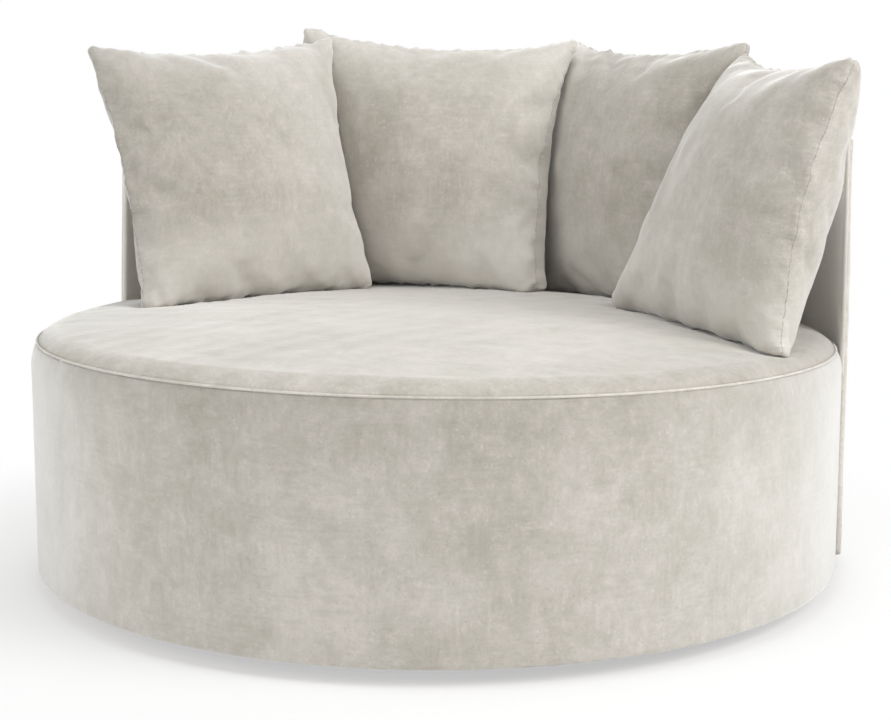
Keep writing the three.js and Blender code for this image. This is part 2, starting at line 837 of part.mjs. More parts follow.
// Moves each cushion out to its place, or only until it leans on the back or on a cushion laid before it.
function cushions() {
  const seat = solid(seatCover().geometry);
  const obstacles = [solid(backForm(0, 0, drumBottom, edgeSteps))];
  return cushionPlaces.map((place) => {
    const form = cushionForm(0, cushionThickness, place.twist);
    const cover = piece(`${place.name}_cover`, cushionCover(place.twist), "velvet");
    const pad = piece(`${place.name}_pad`, cushionPad(place.twist), "wadding");
    const holder = group(cover, pad);
    const hits = (distance) => {
      stand(holder, place, distance, form);
      const here = solid(placed(form, holder));
      return obstacles.some((obstacle) => obstacle.intersect(here).volume() > 0);
    };
    stand(holder, place, furthestClear(drumRadius * place.outShare, cushionGap, hits), form);
    const above = solid(placed(form, holder));
    const sinks = (drop) => seat.intersect(above.translate([0, 0, -drop])).volume() > 0;
    holder.position.z -= furthestClear(crownRise, clearance, sinks);
    obstacles.push(solid(placed(form, holder)));
    return holder;
  });
}

const base = group(plinthBoard(), ...glides(), lowerPlate(), ...lowerScrews());
const timber = group(bottomBoard(), ...posts(), topRing(), drumWall());
const deck = group(...springs(), deckCloth(), dustCover());
const upholstery = group(seatFoam(), drumWadding(), drumCover(), seatCover(), seatWelt());
const back = group(backBoard(), backWadding(), backCover(), ...backBolts());
const seat = group(upperPlate(), ...upperScrews(), timber, deck, upholstery, back, ...cushions());

const chair = group(base, ballCage(), seat);

export default chair;
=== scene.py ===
# Looks of a round swivel cuddle chair, laid over its solids.
# Metres, +Z up, -Y is the open front. The origin is on the floor, on the drum's turning axis.

import math

import bpy
import numpy as np
from mathutils import Matrix, Vector
from mathutils.bvhtree import BVHTree
from mathutils.kdtree import KDTree


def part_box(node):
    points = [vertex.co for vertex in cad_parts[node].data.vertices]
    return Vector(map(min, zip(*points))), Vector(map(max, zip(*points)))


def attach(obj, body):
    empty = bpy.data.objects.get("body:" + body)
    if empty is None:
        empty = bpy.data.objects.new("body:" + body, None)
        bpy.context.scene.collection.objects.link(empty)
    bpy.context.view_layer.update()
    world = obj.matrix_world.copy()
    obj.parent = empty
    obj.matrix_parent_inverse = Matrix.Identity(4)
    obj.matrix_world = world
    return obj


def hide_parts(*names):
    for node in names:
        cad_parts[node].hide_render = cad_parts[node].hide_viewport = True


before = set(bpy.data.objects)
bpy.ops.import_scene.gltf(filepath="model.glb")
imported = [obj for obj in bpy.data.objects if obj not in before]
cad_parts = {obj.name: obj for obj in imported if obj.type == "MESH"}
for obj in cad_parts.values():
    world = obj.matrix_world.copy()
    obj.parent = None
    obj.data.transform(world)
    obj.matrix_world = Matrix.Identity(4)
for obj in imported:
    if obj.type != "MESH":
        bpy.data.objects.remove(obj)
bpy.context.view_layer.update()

# Sizes of the solids that the covers follow
DRUM_RADIUS = 0.7
SEAM_HEIGHT = 0.406  # floor to the seam, where it crosses the drum's middle
RIM_RISE = 0.024  # seam to the top of the rounded rim
CROWN_RISE = 0.028  # rim to the middle of the seat
SHOULDER_RADIUS = 0.058  # rounding between the drum's side and the seat
SEAT_SLOPE = 0.04  # fall towards the back, as a share of the depth
SLOPE_START = 0.3211  # height above which the layers slope
FOAM_FLOOR = 0.3061  # underside of the foam at its edge
FOAM_SIDE = 0.69  # radius of the foam's lower edge
DECK_RADIUS = 0.62
DECK_RISE = 0.015  # how far the springs and the deck over them are crowned
BACK_TOP = 0.756
BACK_HALF_WRAP = math.radians(76.7)  # to each side of the middle
BACK_RAKE = 0.017  # how far the top of each end leans back
BACK_THICKNESS = 0.0126
BACK_WADDING_INSET = 0.0015
BACK_INNER = 0.7003  # radius of its inner face
COVER = 0.0012  # thickness of the velvet
WADDING = 0.008  # thickness
CLEARANCE = 0.0003  # between the layers
CORD_RADIUS = 0.002

RIM_HEIGHT = SEAM_HEIGHT + RIM_RISE
SHOULDER_CENTRE = DRUM_RADIUS - SHOULDER_RADIUS
SEAM_ANGLE = math.asin(1 - RIM_RISE / SHOULDER_RADIUS)
BACK_MIDDLE = BACK_INNER + BACK_THICKNESS / 2
DRUM_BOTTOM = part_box("drum_cover")[0].z

CUSHION_SIZE = (0.532, 0.494, 0.2)
CUSHION_WIDTH, CUSHION_HEIGHT, CUSHION_THICKNESS = CUSHION_SIZE
FULLER = 0.006  # how much fuller each face is than its solid's
FILLING_SCALE = (0.955, 0.915, 0.955)  # of the cover, for the filling inside it

# Each cushion's turn about the vertical, lean, sideways tilt and twist, in degrees, how far its
# middle is from its solid's middle, in metres, how deep its top edge sags, as a share of half its
# height, and how far its corners are pulled sideways and up, in metres, clockwise from the top left
CUSHIONS = {
    "cushion_1": ((56.5, 17.6, -0.2, -2.6), (0.001, 0.0005, 0.002), 0.062,
                  ((-0.008, 0.012), (0.006, 0.008), (0.005, -0.006), (-0.005, -0.007))),
    "cushion_2": ((-1.0, 7.7, 0.3, 14), (0.0005, 0, 0.0045), 0.09,
                  ((-0.017, 0.012), (0.015, 0.005), (0.009, 0), (-0.001, -0.002))),
    "cushion_3": ((-38.3, 9.0, -1.8, 1.7), (0.0035, 0.001, 0.002), 0.062,
                  ((0.018, 0.012), (0.010, 0.008), (0, 0), (-0.004, -0.005))),
    "cushion_4": ((-53.9, 21.4, -0.3, -6.9), (0.0035, 0.002, -0.0015), 0.08,
                  ((0.001, 0.012), (-0.001, -0.001), (0.007, -0.004), (-0.006, -0.009))),
}

# How far a cushion's right seam bows forward, how much fuller its rear is, and how far the seam is
# drawn in below its top corner, in metres
SEAM_BOW = {"cushion_2": (0.016, 0.012, 0.026), "cushion_4": (0.024, 0.014, 0)}


# Fields of numbers

def waves(points, length, seed, count=7):
    """A smooth random field, mostly from -1 to 1, with bumps about length apart."""
    random = np.random.default_rng(seed)
    total = np.zeros(len(points))
    for _ in range(count):
        direction = random.normal(size=points.shape[1])
        direction *= 2 * np.pi / length * random.uniform(0.6, 1.5) / np.linalg.norm(direction)
        total += np.sin(points @ direction + random.uniform(0, 2 * np.pi))
    return total / math.sqrt(count) / 1.5


def smoothed(values, edges, rounds):
    """Averages values at each point with its neighbours, rounds times."""
    values = values.copy()
    degree = np.bincount(edges.ravel(), minlength=len(values)).astype(float)
    for _ in range(rounds):
        total = np.zeros_like(values)
        for axis in range(values.shape[1]):
            total[:, axis] += np.bincount(edges[:, 0], values[edges[:, 1], axis], len(values))
            total[:, axis] += np.bincount(edges[:, 1], values[edges[:, 0], axis], len(values))
        values = 0.5 * values + 0.5 * total / degree[:, None]
    return values


# Meshes

def mesh_piece(name, points, faces, material, shade=None):
    mesh = bpy.data.meshes.new(name)
    mesh.from_pydata([tuple(p) for p in points], [], [tuple(f) for f in faces])
    mesh.validate()
    mesh.polygons.foreach_set("use_smooth", [True] * len(mesh.polygons))
    set_field(mesh, "shade", np.zeros(len(mesh.vertices)) if shade is None else shade)
    mesh.materials.append(material)
    made = bpy.data.objects.new(name, mesh)
    bpy.context.scene.collection.objects.link(made)
    return made


def set_field(mesh, name, values):
    """Stores a number for each point, for the materials."""
    if name not in mesh.attributes:
        mesh.attributes.new(name, "FLOAT", "POINT")
    mesh.attributes[name].data.foreach_set("value", values.astype(np.float32))


def points_of(mesh):
    flat = np.zeros(len(mesh.vertices) * 3)
    mesh.vertices.foreach_get("co", flat)
    return flat.reshape(-1, 3)


def normals_of(mesh):
    flat = np.zeros(len(mesh.vertices) * 3, np.float32)
    mesh.vertex_normals.foreach_get("vector", flat)
    return flat.reshape(-1, 3).astype(float)


def edges_of(mesh):
    flat = np.zeros(len(mesh.edges) * 2, np.int32)
    mesh.edges.foreach_get("vertices", flat)
    return flat.reshape(-1, 2)


def move_points(mesh, points):
    mesh.vertices.foreach_set("co", points.ravel())
    mesh.update()


def lathe(rows, count):
    """Points and faces of a closed outline of (radius, height) rows turned round the vertical axis,
    and each point's row and angle."""
    angles = np.arange(count) * 2 * np.pi / count
    rows = np.asarray(rows)
    points = np.stack([
        np.outer(rows[:, 0], np.sin(angles)),
        np.outer(rows[:, 0], np.cos(angles)),
        np.repeat(rows[:, 1:2], count, 1),
    ], -1).reshape(-1, 3)
    faces = []
    for i in range(len(rows)):
        below = (i + 1) % len(rows)
        for k in range(count):
            after = (k + 1) % count
            low, high = below * count, i * count
            faces.append((high + k, low + k, low + after, high + after))
    return points, faces, np.repeat(np.arange(len(rows)), count), np.tile(angles, len(rows))


def sloped(points):
    """Moves the points above the deck down with their distance behind the axis, as the seat falls
    towards the back."""
    share = np.clip((points[:, 2] - SLOPE_START) / (SEAM_HEIGHT - SLOPE_START), 0, 1)
    points = points.copy()
    points[:, 2] -= SEAT_SLOPE * points[:, 1] * share
    return points


def facing_out(made):
    """Turns the faces out where the mesh is inside out."""
    mesh = made.data
    mesh.calc_loop_triangles()
    points = points_of(mesh)
    corners = np.zeros(len(mesh.loop_triangles) * 3, np.int32)
    mesh.loop_triangles.foreach_get("vertices", corners)
    a, b, c = points[corners.reshape(-1, 3)].transpose(1, 0, 2)
    if (a * np.cross(b, c)).sum() < 0:
        mesh.flip_normals()
    return made


# Materials

def linear(red, green, blue):
    """Scene colour of a display colour written from 0 to 255."""
    def one(value):
        value /= 255
        return value / 12.92 if value <= 0.04045 else ((value + 0.055) / 1.055) ** 2.4
    return (one(red), one(green), one(blue), 1)


class Finish:
    """A material with a principled shader and short calls for the nodes that drive it."""

    def __init__(self, name, **settings):
        self.material = bpy.data.materials.new(name)
        self.material.use_nodes = True
        self.tree = self.material.node_tree
        self.shader = self.tree.nodes["Principled BSDF"]
        for key, value in settings.items():
            self.shader.inputs[key.replace("_", " ")].default_value = value
        self.place = self.node("ShaderNodeTexCoord").outputs["Object"]

    def node(self, kind, inputs=None, **settings):
        made = self.tree.nodes.new(kind)
        for key, value in settings.items():
            setattr(made, key, value)
        for key, value in (inputs or {}).items():
            self.put(made.inputs[key], value)
        return made

    def put(self, socket, value):
        if isinstance(value, bpy.types.NodeSocket):
            self.tree.links.new(value, socket)
        else:
            socket.default_value = value

    def scaled(self, x, y, z):
        """Place on the object, times these factors."""
        inputs = {"Vector": self.place, "Scale": (x, y, z)}
        return self.node("ShaderNodeMapping", inputs).outputs["Vector"]

    def noise(self, scale, detail=3, rough=0.55, distortion=0.0, place=None):
        inputs = {
            "Vector": self.place if place is None else place,
            "Scale": scale,
            "Detail": detail,
            "Roughness": rough,
            "Distortion": distortion,
        }
        return self.node("ShaderNodeTexNoise", inputs).outputs["Fac"]

    def voronoi(self, scale):
        inputs = {"Vector": self.place, "Scale": scale}
        return self.node("ShaderNodeTexVoronoi", inputs).outputs["Distance"]

    def math(self, operation, a, b=0.0):
        return self.node("ShaderNodeMath", {0: a, 1: b}, operation=operation).outputs["Value"]

    def weighted(self, *parts):
        """Sum of values, each times its share."""
        total = 0.0
        for value, share in parts:
            total = self.math("ADD", total, self.math("MULTIPLY", value, share))
        return total

    def spread(self, value, low, high, to_low=0.0, to_high=1.0):
        """Maps the range from low to high onto another one, and holds it at the ends."""
        return self.node("ShaderNodeMapRange", {
            "Value": value, "From Min": low, "From Max": high, "To Min": to_low, "To Max": to_high,
        }).outputs["Result"]

    def mix(self, share, a, b):
        made = self.node("ShaderNodeMix", data_type="RGBA")
        for socket, value in ((0, share), (6, a), (7, b)):
            self.put(made.inputs[socket], value)
        return made.outputs[2]

    def attribute(self, name):
        return self.node("ShaderNodeAttribute", attribute_name=name).outputs["Fac"]

    def colour(self, value):
        self.put(self.shader.inputs["Base Color"], value)

    def rough(self, value):
        self.put(self.shader.inputs["Roughness"], value)

    def bump(self, *layers):
        """Height layers of (value, strength, metres)."""
        normal = None
        for value, strength, distance in layers:
            inputs = {"Height": value, "Strength": strength, "Distance": distance}
            if normal is not None:
                inputs["Normal"] = normal
            normal = self.node("ShaderNodeBump", inputs).outputs["Normal"]
        self.put(self.shader.inputs["Normal"], normal)


PILE_DARK, PILE_LIGHT = (170, 166, 155), (199, 194, 187)
PILE_WORN = linear(224, 220, 213)
PILE_SPECK = linear(146, 141, 131)
# Colours of painted shade, painted light, painted sheen (also the real sheen's tint) and the painted
# shade in the seams' grooves
PAINTED_SHADE_COLOUR = linear(96, 90, 79)
PAINTED_LIGHT_COLOUR = linear(236, 233, 227)
PILE_SHEEN = linear(246, 246, 244)
PAINTED_SEAM_SHADE = linear(118, 111, 99)
UPRIGHT_LINES = ((1, 1, 0.16), (0.16, 0.16, 1))
LEVEL_LINES = ((1, 0.16, 1), (0.16, 1, 1))


def velvet(name, grain=(1, 1, 1), lines=UPRIGHT_LINES, tone=0, painted_sheen=0.3):
    """Pale velvet, whose pile lies in patches and short streaks. Grain and lines stretch them, tone
    lightens the whole pile as painted light, and the last setting is a painted sheen: how much paler
    the colour is painted at a grazing angle."""
    made = Finish(name, Specular_IOR_Level=0.15, Sheen_Weight=1.0, Sheen_Roughness=0.34)
    made.shader.inputs["Sheen Tint"].default_value = PILE_SHEEN
    place = made.scaled(*grain)
    cloud = made.noise(5, 3, 0.55, 0.3, place)
    patch = made.noise(16, 6, 0.68, 0.5, place)
    mottle = made.noise(52, 6, 0.72, 0.3)
    fleck = made.noise(240, 3, 0.6)
    fibre = made.noise(950, 2, 0.6)
    upright, level = (made.noise(150, 3, 0.6, 0.2, made.scaled(*stretch)) for stretch in lines)
    streak = made.mix(made.spread(made.noise(14, 2, 0.5), 0.44, 0.56), upright, level)
    nap = made.weighted((cloud, 0.30), (patch, 0.30), (mottle, 0.24), (streak, 0.16))
    share = made.spread(nap, 0.405, 0.595)
    dark, light = (linear(*(value + tone for value in pile)) for pile in (PILE_DARK, PILE_LIGHT))
    cloth = made.mix(share, dark, light)
    worn = made.math("MULTIPLY", made.spread(fleck, 0.56, 0.7), made.spread(mottle, 0.48, 0.6))
    cloth = made.mix(made.math("MULTIPLY", worn, 0.4), cloth, PILE_WORN)
    cloth = made.mix(made.spread(fleck, 0.3, 0.42, 0.3, 0.0), cloth, PILE_SPECK)
    cloth = made.mix(made.spread(fibre, 0.3, 0.7, 0.0, 0.12), cloth, PILE_SPECK)
    grazing = made.node("ShaderNodeLayerWeight", {"Blend": 0.5}).outputs["Facing"]
    edge = made.math("POWER", grazing, 2.2)
    # Painted sheen: the colour is painted paler towards grazing angles
    cloth = made.mix(made.math("MULTIPLY", edge, painted_sheen), cloth, PILE_SHEEN)
    # Painted shade and painted light: the colour is darkened and lightened by two fields set on each
    # mesh
    cloth = made.mix(made.math("MULTIPLY", made.attribute("shade"), 0.75), cloth, PAINTED_SHADE_COLOUR)
    cloth = made.mix(made.attribute("painted_light"), cloth, PAINTED_LIGHT_COLOUR)
    # A seam is a thin uneven line of painted shade, for the shade in its groove, with small puckers
    # across it
    near = made.attribute("near_seam")
    way = made.attribute("seam_way")
    kink, fold = (made.node("ShaderNodeTexNoise", {"W": way, "Scale": scale, "Detail": 2.0},
                            noise_dimensions="1D").outputs["Fac"] for scale in (170.0, 60.0))
    line = made.math("ADD", near, made.math("MULTIPLY", made.math("SUBTRACT", kink, 0.5), 0.06))
    line = made.spread(line, 0.955, 0.99)
    made.colour(made.mix(made.math("MULTIPLY", line, 0.6), cloth, PAINTED_SEAM_SHADE))
    pucker = made.math("MULTIPLY", fold, made.math("POWER", near, 2.0))
    made.rough(made.spread(nap, 0.3, 0.7, 0.95, 0.78))
    made.bump(
        (made.noise(24, 3, 0.5, 0.4, place), 0.3, 0.002),
        (pucker, 0.8, 0.005),
        (mottle, 0.35, 0.0012),
        (fleck, 0.35, 0.0005),
        (fibre, 0.35, 0.00025),
    )
    return made.material


def plywood(name):
    made = Finish(name, Specular_IOR_Level=0.4)
    place = made.scaled(3, 26, 3)
    rings = made.node("ShaderNodeTexWave", {
        "Vector": place, "Scale": 0.8, "Distortion": 7.5, "Detail": 3.0, "Detail Scale": 1.4,
    }, wave_type="BANDS", bands_direction="Y").outputs["Fac"]
    pores = made.noise(210, 3, 0.7, 0.0, made.scaled(0.12, 1, 1))
    layer = made.node("ShaderNodeTexWave", {
        "Vector": made.scaled(1, 1, 1), "Scale": 110.0, "Distortion": 0.3,
    }, wave_type="BANDS", bands_direction="Z").outputs["Fac"]
    wood = made.mix(rings, linear(196, 160, 112), linear(222, 192, 146))
    wood = made.mix(made.spread(pores, 0.5, 0.75, 0, 0.5), wood, linear(140, 103, 64))
    made.colour(made.mix(made.math("MULTIPLY", layer, 0.12), wood, linear(120, 84, 52)))
    made.rough(made.spread(pores, 0.3, 0.7, 0.55, 0.75))
    made.bump((pores, 0.3, 0.0004), (rings, 0.15, 0.0003))
    return made.material


def timber(name):
    made = Finish(name, Specular_IOR_Level=0.4)
    place = made.scaled(24, 24, 2.2)
    rings = made.node("ShaderNodeTexWave", {
        "Vector": place, "Scale": 1.1, "Distortion": 5.0, "Detail": 3.0, "Detail Scale": 1.1,
    }, wave_type="RINGS", rings_direction="Z").outputs["Fac"]
    pores = made.noise(260, 3, 0.7, 0.0, made.scaled(1, 1, 0.08))
    wood = made.mix(rings, linear(198, 168, 122), linear(226, 202, 160))
    made.colour(made.mix(made.spread(pores, 0.5, 0.75, 0, 0.45), wood, linear(150, 116, 76)))
    made.rough(made.spread(pores, 0.3, 0.7, 0.6, 0.82))
    made.bump((pores, 0.35, 0.0005), (rings, 0.2, 0.0004))
    return made.material


def steel(name):
    made = Finish(name, Metallic=1.0)
    brushed = made.noise(60, 4, 0.7, 0.0, made.scaled(30, 1.5, 1.5))
    stain = made.noise(26, 4, 0.6, 0.4)
    made.colour(made.mix(made.spread(stain, 0.4, 0.7), linear(178, 181, 184), linear(150, 152, 154)))
    made.rough(made.spread(made.math("ADD", brushed, stain), 0.7, 1.3, 0.24, 0.46))
    made.bump((brushed, 0.12, 0.0002))
    return made.material


def nylon(name):
    made = Finish(name, Specular_IOR_Level=0.5)
    grain = made.noise(900, 2, 0.6)
    worn = made.noise(60, 4, 0.6)
    made.colour(made.mix(made.spread(worn, 0.45, 0.7), linear(38, 38, 39), linear(66, 66, 66)))
    made.rough(made.spread(worn, 0.3, 0.7, 0.42, 0.62))
    made.bump((grain, 0.25, 0.0002))
    return made.material


def foam(name):
    made = Finish(name, Specular_IOR_Level=0.2)
    cells = made.voronoi(420)
    tone = made.noise(14, 3)
    made.colour(made.mix(made.spread(cells, 0.1, 0.5), linear(196, 180, 130), linear(236, 224, 182)))
    made.rough(made.spread(tone, 0.3, 0.7, 0.9, 1.0))
    made.bump((cells, 0.6, 0.0008), (tone, 0.2, 0.001))
    return made.material


def wadding(name):
    made = Finish(name, Specular_IOR_Level=0.2, Sheen_Weight=0.3, Sheen_Roughness=0.6)
    tuft = made.noise(38, 5, 0.65, 0.8)
    fibre = made.noise(300, 4, 0.7, 1.5)
    made.colour(made.mix(made.spread(tuft, 0.35, 0.65), linear(226, 224, 218), linear(245, 244, 240)))
    made.rough(made.spread(fibre, 0.3, 0.7, 0.9, 1.0))
    made.bump((tuft, 0.5, 0.002), (fibre, 0.5, 0.0006))
    return made.material


def black_cloth(name):
    made = Finish(name, Specular_IOR_Level=0.25)
    threads = {"Vector": made.place, "Scale": 260.0}
    weave = made.math("MULTIPLY", *(
        made.node("ShaderNodeTexWave", threads, bands_direction=way).outputs["Fac"] for way in "XY"))
    lint = made.noise(120, 4, 0.7)
    made.colour(made.mix(made.spread(lint, 0.55, 0.75), linear(24, 24, 26), linear(62, 61, 60)))
    made.rough(made.spread(lint, 0.3, 0.7, 0.85, 0.98))
    made.bump((weave, 0.5, 0.0003), (made.noise(9, 3), 0.3, 0.002))
    return made.material


# Painted light and sheen per part: each velvet has its own painted sheen at grazing angles, and the
# seat, and most of all the back, where the cushions shade it, are painted lighter
DRUM_VELVET = velvet("velvet_drum", (1, 1, 0.8), painted_sheen=0.85)
SEAT_VELVET = velvet("velvet_seat", lines=LEVEL_LINES, tone=5, painted_sheen=0.03)
BACK_VELVET = velvet("velvet_back", (1, 1, 0.8), tone=14)
PLYWOOD = plywood("plywood")
TIMBER = timber("timber")
STEEL = steel("steel")
NYLON = nylon("nylon")
FOAM = foam("foam")
WADDING_FINISH = wadding("wadding")
BLACK_CLOTH = black_cloth("black_cloth")

# What the nodes whose names start so are made of
node_finish = {
    "plinth_board": PLYWOOD, "bottom_board": PLYWOOD, "top_ring": PLYWOOD, "drum_wall": PLYWOOD,
    "back_board": PLYWOOD, "post": TIMBER, "glide": NYLON, "bearing": STEEL, "plinth_screw": STEEL,
    "seat_screw": STEEL, "seat_spring": STEEL, "back_bolt": STEEL, "deck_cloth": BLACK_CLOTH,
    "dust_cover": BLACK_CLOTH, "seat_foam": FOAM, "drum_wadding": WADDING_FINISH,
    "back_wadding": WADDING_FINISH, "drum_cover": DRUM_VELVET, "seat_cover": SEAT_VELVET,
    "seat_welt": SEAT_VELVET, "back_cover": BACK_VELVET, "cushion": WADDING_FINISH,
}
for node_name, node_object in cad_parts.items():
    found = [finish for start, finish in node_finish.items() if node_name.startswith(start)]
    node_object.data.materials.clear()
    node_object.data.materials.append(found[0])


# Cushions

def place_of(name):
    """Turn and middle of a cushion, from its cover's solid."""
    (turn, lean, tilt, _), shift, _, _ = CUSHIONS[name]
    turn, lean, tilt = (math.radians(value) for value in (turn, lean, tilt))
    turned = Matrix.Rotation(turn, 3, "Z") @ Matrix.Rotation(-lean, 3, "X")
    turned = np.array(turned @ Matrix.Rotation(tilt, 3, "Y"))
    local = points_of(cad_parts[name + "_cover"].data) @ turned
    middle = (local.min(0) + local.max(0)) / 2
    return turned, turned @ middle + shift


def pillow_grid(cells):
    """Points and faces of two panels sewn at their edges. Each point has its places u and v, from
    -1 to 1, and its side: 1 on the rear panel, -1 on the front one and 0 on the seam."""
    even = np.linspace(-1, 1, cells + 1)
    side = 1.25 * even - 0.25 * even ** 3
    index = np.full((2, cells + 1, cells + 1), -1)
    spots, faces = [], []
    for panel in (0, 1):
        at = index[panel]
        for i in range(cells + 1):
            for j in range(cells + 1):
                edge = i in (0, cells) or j in (0, cells)
                if panel == 1 and edge:
                    at[i, j] = index[0, i, j]
                    continue
                at[i, j] = len(spots)
                spots.append((side[i], side[j], 0 if edge else (1, -1)[panel]))
        for i in range(cells):
            for j in range(cells):
                ring = [at[i, j], at[i + 1, j], at[i + 1, j + 1], at[i, j + 1]]
                faces.append(ring[::-1] if panel == 0 else ring)
    return np.array(spots), faces


CORNER_BLUNT = 0.022  # share that the corners are drawn in over a wide stretch
CORNER_TAB = 0.020  # share that their very tips are, which rounds them
SIDE_DRAW = 0.05  # share that the sides are drawn in between the corners
BOTTOM_DRAW = 0.01  # share that the bottom edge is
BOTTOM_DROP = 0.009  # how far the weight spreads the bottom down, in metres
CROWN_POWER = 0.72  # of the panels' profile: lower is fuller
FULLER_ACROSS, FULLER_UPWARD = 0.12, 0.27  # how far the power falls towards the bottom
CORNERS = ((-1, 1), (1, 1), (1, -1), (-1, -1))  # clockwise from the top left


def pillow_form(spots, twist, sag, pulls, bow):
    """Places on the crowned form, with blunt corners, pinched seams and drawn-in sides."""
    u, v, face = spots.T
    middling, down = 1 - v * v, np.clip(-v, 0, 1)
    blunt = 1 - CORNER_BLUNT * np.abs(u * v) ** 10 - CORNER_TAB * np.abs(u * v) ** 34
    across = (1 - np.minimum(u * u, 1)) ** (CROWN_POWER - FULLER_ACROSS * down)
    upward = (1 - np.minimum(v * v, 1)) ** (CROWN_POWER - FULLER_UPWARD * down)
    rise = across * upward / np.sqrt(across ** 2 + upward ** 2 - (across * upward) ** 2 + 1e-12)
    x = CUSHION_WIDTH / 2 * u * (1 - SIDE_DRAW * middling) * blunt
    z = CUSHION_HEIGHT / 2 * v * (1 - np.where(v > 0, sag, BOTTOM_DRAW) * (1 - u * u)) * blunt
    z -= BOTTOM_DROP * np.clip((-v - 0.6) / 0.4, 0, 1)
    for (right, top), (sideways, upwards) in zip(CORNERS, pulls):
        near = ((1 + right * u) * (1 + top * v) / 4) ** 5
        x, z = x + sideways * near, z + upwards * near
    y = face * (CUSHION_THICKNESS / 2 + FULLER) * rise
    forward, rear, drawn = bow
    # The rear panel keeps its width, so a strip of it shows beyond the drawn-in seam
    at_seam = np.where(face > 0, np.clip(1 - rise / 0.13, 0, 1), 1)
    x -= drawn * ((1 + u) / 2) ** 3 * (1 - ((1 + v) / 2) ** 3) * at_seam
    bowed = forward * ((1 + u) / 2) ** 4 * middling
    y += np.where(face > 0, (bowed + rear * middling) * rise ** 0.6, 0) - bowed
    turned = math.radians(twist) * z * 2 / CUSHION_HEIGHT
    sine, cosine = np.sin(turned), np.cos(turned)
    return np.stack([x * cosine - y * sine, x * sine + y * cosine, z], 1)


CLOTH_STEPS = 26
CLOTH_SETTINGS = {
    "quality": 6, "mass": 0.25, "air_damping": 2.5, "tension_stiffness": 25,
    "compression_stiffness": 25, "shear_stiffness": 8, "bending_stiffness": 0.15,
    "use_pressure": True, "uniform_pressure_force": 5.5,
}


def inflated(start, flat, faces):
    """Where cloth cut to the flat panels lies when it is blown up from the start."""
    mesh = bpy.data.meshes.new("cloth")
    mesh.from_pydata([tuple(p) for p in start], [], [tuple(f) for f in faces])
    cloth = bpy.data.objects.new("cloth", mesh)
    scene = bpy.context.scene
    scene.collection.objects.link(cloth)
    cloth.shape_key_add(name="start")
    cut = cloth.shape_key_add(name="cut")
    cut.data.foreach_set("co", flat.ravel())
    modifier = cloth.modifiers.new("cloth", "CLOTH")
    settings = modifier.settings
    for key, value in CLOTH_SETTINGS.items():
        setattr(settings, key, value)
    settings.rest_shape_key = cut
    settings.effector_weights.gravity = 0
    modifier.collision_settings.use_collision = False
    modifier.collision_settings.use_self_collision = False
    modifier.point_cache.frame_start = 1
    modifier.point_cache.frame_end = 30
    for step in range(1, CLOTH_STEPS + 1):
        scene.frame_set(step)
    made = points_of(cloth.evaluated_get(bpy.context.evaluated_depsgraph_get()).data)
    bpy.data.objects.remove(cloth)
    bpy.data.meshes.remove(mesh)
    scene.frame_set(1)
    return made


def subdivided(made, creased, sharpness):
    """Divides each face in four, smoothly, with the seam kept sharp."""
    mesh = made.data
    on_seam = set(creased)
    crease = mesh.attributes.new("crease_edge", "FLOAT", "EDGE")
    values = [sharpness if set(edge.vertices) <= on_seam else 0.0 for edge in mesh.edges]
    crease.data.foreach_set("value", values)
    modifier = made.modifiers.new("finer", "SUBSURF")
    modifier.levels = modifier.render_levels = 1
    evaluated = made.evaluated_get(bpy.context.evaluated_depsgraph_get())
    finer = bpy.data.meshes.new_from_object(evaluated)
    made.modifiers.clear()
    made.data = finer
    bpy.data.meshes.remove(mesh)


CELLS = 44  # along each side of a panel
PANEL_SHARE = 0.54  # half of each flat panel's size, as a share of the cushion's
PANEL_GAP = 0.002  # from the seam to each flat panel
# Waves that the cloth starts with, in X, Y and Z
RIPPLE_LENGTHS = (0.7, 0.4, 0.7)
RIPPLE_DEPTHS = (0.002, 0.004, 0.002)
WRINKLE_DEPTH = 0.007  # the most that a wrinkle moves a point
WRINKLE_ROUNDS = 60  # of smoothing, which leave the cloth's change without its wrinkles
spots, pillow_faces = pillow_grid(CELLS)
seam_spots = [i for i, spot in enumerate(spots) if spot[2] == 0]
seam_ring = sorted(seam_spots, key=lambda i: math.atan2(spots[i][0], spots[i][1]))
flat_panels = np.stack([
    spots[:, 0] * CUSHION_WIDTH * PANEL_SHARE,
    spots[:, 2] * PANEL_GAP,
    spots[:, 1] * CUSHION_HEIGHT * PANEL_SHARE,
], 1)
pillow_mesh = bpy.data.meshes.new("grid")
pillow_mesh.from_pydata([tuple(s) for s in spots], [], [tuple(f) for f in pillow_faces])
pillow_edges = edges_of(pillow_mesh)

cushion_points, cushion_places = {}, {}
for number, (name, ((_, _, _, twist), _, sag, pulls)) in enumerate(CUSHIONS.items()):
    local = pillow_form(spots, twist, sag, pulls, SEAM_BOW.get(name, (0, 0, 0)))
    ripple = np.stack([waves(spots[:, :2], length, 10 * number + k)
                       for k, length in enumerate(RIPPLE_LENGTHS)], 1)
    blown = inflated(local + ripple * RIPPLE_DEPTHS, flat_panels, pillow_faces)
    change = blown - local
    change -= change.mean(0)
    fine = change - smoothed(change, pillow_edges, WRINKLE_ROUNDS)
    local = local + np.clip(fine, -WRINKLE_DEPTH, WRINKLE_DEPTH)
    turned, middle = cushion_places[name] = place_of(name)
    cushion_points[name] = local @ turned.T + middle


def seat_height(x, y):
    """Height of the plain seat, without its waves and dents."""
    radius = np.hypot(x, y)
    over = np.clip(radius - SHOULDER_CENTRE, 0, SHOULDER_RADIUS)
    share = np.minimum(radius / SHOULDER_CENTRE, 1)
    rounding = np.sqrt(SHOULDER_RADIUS ** 2 - over ** 2) - SHOULDER_RADIUS
    return RIM_HEIGHT + CROWN_RISE * (1 - share ** 2) + rounding - SEAT_SLOPE * y


